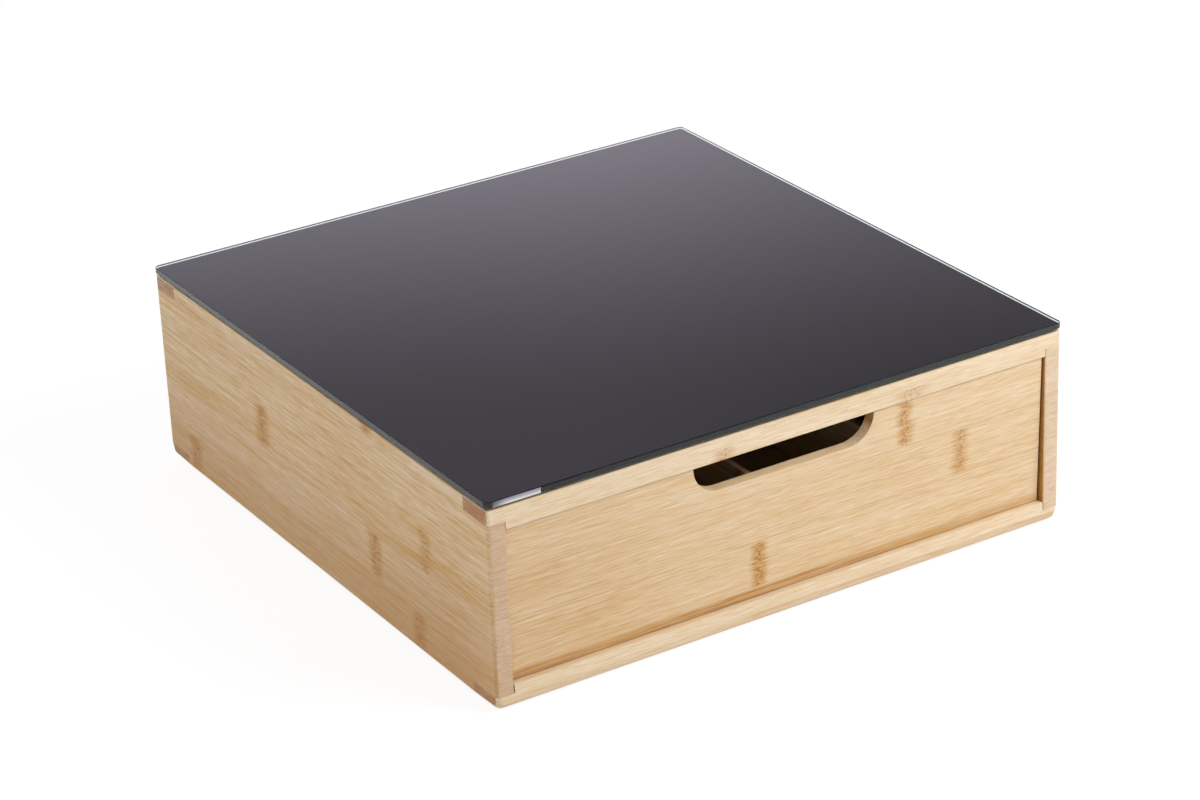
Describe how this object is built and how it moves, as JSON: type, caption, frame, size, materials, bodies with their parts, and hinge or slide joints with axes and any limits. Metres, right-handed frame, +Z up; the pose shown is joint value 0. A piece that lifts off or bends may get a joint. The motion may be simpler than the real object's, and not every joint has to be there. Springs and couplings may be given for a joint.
{
  "type": "coffee capsule drawer",
  "caption": "Low bamboo case under a black-backed glass plate, with an inset sliding drawer that has a finger slot and inner dividers, for storing coffee capsules under a machine.",
  "frame": {"origin": "middle of the footprint, on the surface that the feet stand on", "axes": "+X to the right seen from the front, -Y out of the drawer front, +Z up"},
  "size_m": [0.31, 0.318, 0.1029],
  "materials": {
    "bamboo_side": "satin lacquer",
    "bamboo_rail": "satin lacquer",
    "bamboo_front": "satin lacquer",
    "bamboo_box": "satin lacquer",
    "bamboo_panel": "satin",
    "dowel": "raw",
    "glass": "polished",
    "black_film": "matt",
    "clear_pad": "clear",
    "foot_rubber": "matt",
    "felt": "felt"
  },
  "bodies": {
    "case": {"left_side_panel": "bamboo_side", "right_side_panel": "bamboo_side", "top_front_rail": "bamboo_rail", "top_rear_rail": "bamboo_rail", "bottom_front_rail": "bamboo_rail", "bottom_rear_rail": "bamboo_rail", "back_panel": "bamboo_panel", "bottom_panel": "bamboo_panel", "left_runner": "bamboo_rail", "right_runner": "bamboo_rail", "glass_top": "glass", "glass_backing": "black_film", "glass_pads": "clear_pad", "case_dowels": "dowel", "feet": "foot_rubber"},
    "drawer": {"drawer_front": "bamboo_front", "drawer_left_side": "bamboo_box", "drawer_right_side": "bamboo_box", "drawer_back": "bamboo_box", "drawer_bottom": "bamboo_panel", "left_divider": "bamboo_box", "centre_divider": "bamboo_box", "right_divider": "bamboo_box", "drawer_dowels": "dowel", "drawer_stops": "felt"}
  },
  "joints": [
    {"name": "drawer_slide", "type": "slide", "parent": "case", "child": "drawer", "axis": [0, -1, 0], "range_m": [0, 0.24]}
  ]
}
